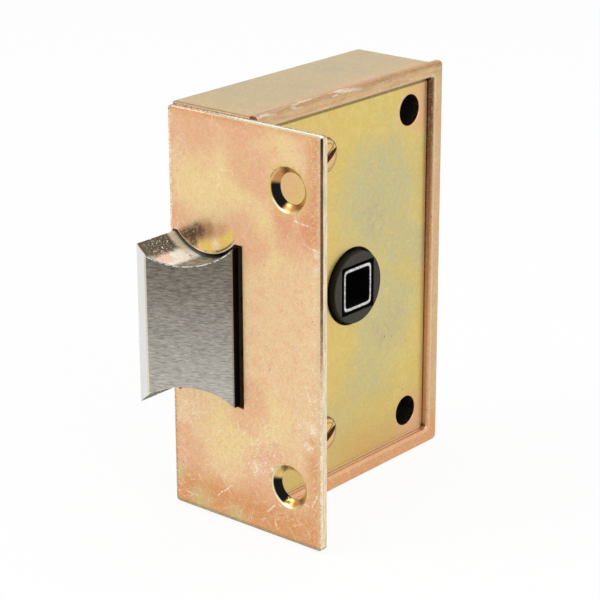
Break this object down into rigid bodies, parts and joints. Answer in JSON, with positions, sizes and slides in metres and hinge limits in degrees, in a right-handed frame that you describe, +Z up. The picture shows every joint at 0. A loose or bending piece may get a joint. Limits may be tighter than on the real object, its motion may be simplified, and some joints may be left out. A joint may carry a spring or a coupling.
{
  "type": "rim latch",
  "caption": "Flat rim latch for a cupboard door: tray case, wide forend, sprung bevelled bolt and a square spindle follower.",
  "frame": {"origin": "on the spindle's axis, in the plane of the case's rim that rests on the door", "axes": "+X out of the case's open side to the door, -Y out of the forend with the bolt, +Z up"},
  "size_m": [0.0429, 0.0786, 0.093],
  "materials": {
    "case_plating": "yellow chromated zinc plate, satin",
    "forend_plating": "yellow and pink chromated zinc plate, lightly scratched",
    "cover_plating": "yellow-green chromated zinc plate",
    "screw_plating": "yellow chromated zinc plate",
    "bolt_steel": "ground steel",
    "tail_steel": "zinc plate",
    "rivet_steel": "plain steel",
    "follower_nylon": "moulded, satin",
    "sleeve_steel": "bright zinc plate",
    "tube_steel": "zinc plate",
    "pin_steel": "turned steel",
    "clip_steel": "blackened spring steel",
    "bracket_steel": "zinc plate",
    "spring_steel": "drawn spring wire"
  },
  "bodies": {
    "case": {"case": "case_plating", "forend": "forend_plating", "forend_studs": "rivet_steel", "forend_nuts": "tail_steel", "cover_plate": "cover_plating", "cover_screws": "screw_plating", "cover_post_upper": "pin_steel", "cover_post_lower": "pin_steel", "fixing_tube_upper": "tube_steel", "fixing_tube_lower": "tube_steel", "guide_pin_front": "pin_steel", "guide_pin_rear": "pin_steel", "guide_pin_clips": "clip_steel", "follower_stop_pin": "pin_steel", "rod_bracket": "bracket_steel", "rod_bracket_rivets": "rivet_steel", "spring_guide_rod": "pin_steel"},
    "bolt": {"latch_bolt": "bolt_steel", "bolt_tail": "tail_steel", "bolt_tail_rivets": "rivet_steel", "latch_spring": "spring_steel"},
    "follower": {"follower": "follower_nylon", "spindle_sleeve": "sleeve_steel"}
  },
  "joints": [
    {"name": "bolt_slide", "type": "slide", "parent": "case", "child": "bolt", "axis": [0, 1, 0], "range_m": [0, 0.0116], "stiffness_N_per_m": 300, "springref_m": -0.02, "deforming": ["latch_spring"]},
    {"name": "follower_turn", "type": "hinge", "parent": "case", "child": "follower", "pos_m": [0, 0, 0], "axis": [-1, 0, 0], "range_deg": [0, 47.48]}
  ],
  "couplings": [
    {"joint": "follower_turn", "follows": "bolt_slide", "rad_per_m": 71.429}
  ]
}
